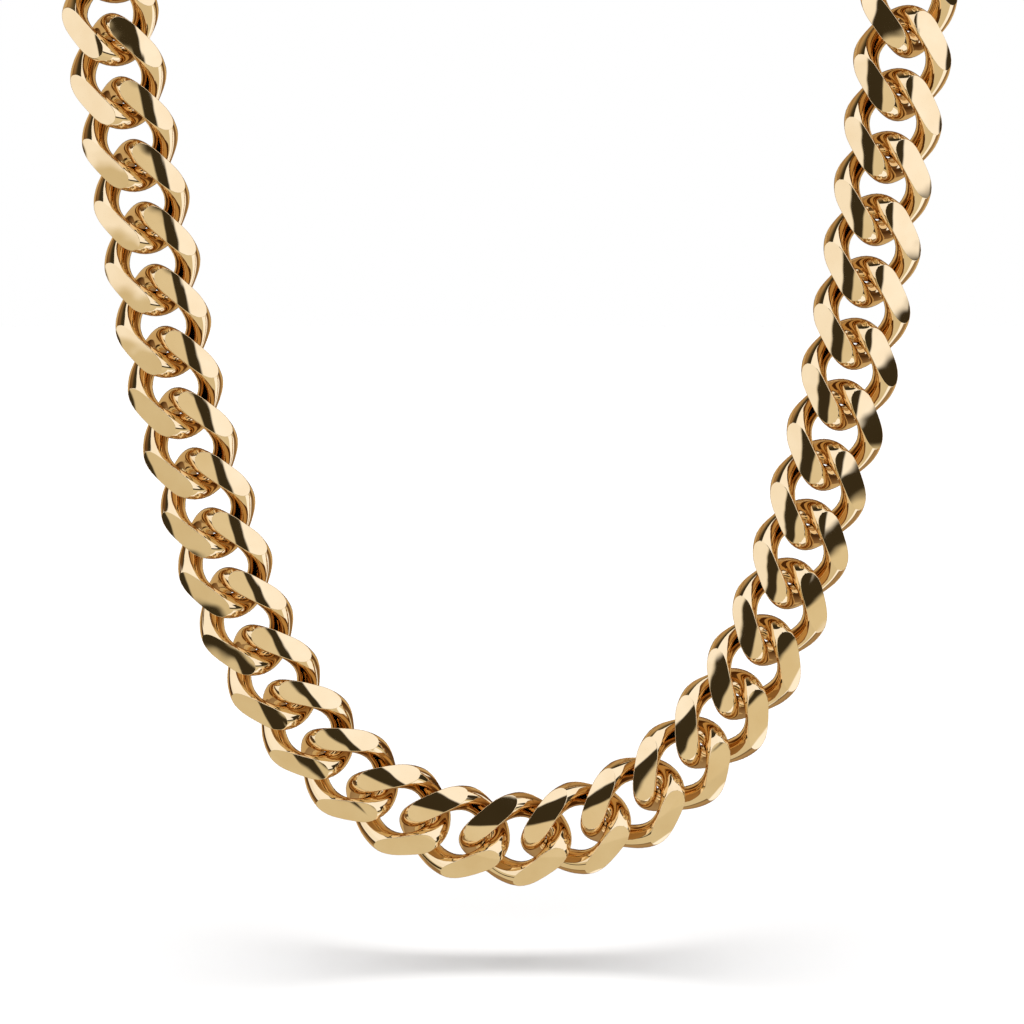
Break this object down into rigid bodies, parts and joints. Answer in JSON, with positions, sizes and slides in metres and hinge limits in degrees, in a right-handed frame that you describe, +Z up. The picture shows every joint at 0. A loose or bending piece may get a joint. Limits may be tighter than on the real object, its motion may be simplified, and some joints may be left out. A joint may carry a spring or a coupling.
{
  "type": "curb chain necklace",
  "caption": "Closed loop of broad twisted and ground curb links in polished gold-coloured metal, hanging in a U in front, with a plain box clasp at the nape.",
  "frame": {"origin": "middle of the clasp's inner face, where the chain rests on the nape of the neck", "axes": "+X to the right as seen from the front, +Y towards the back of the neck, +Z up; the flat front of the hanging U faces -Y"},
  "size_m": [0.1301, 0.1113, 0.1873],
  "materials": {
    "chain_metal": "mirror polished, gold plated",
    "clasp_metal": "polished, gold plated"
  },
  "bodies": {
    "root": {"chain_left": "chain_metal", "chain_right": "chain_metal", "clasp": "clasp_metal"}
  },
  "joints": []
}
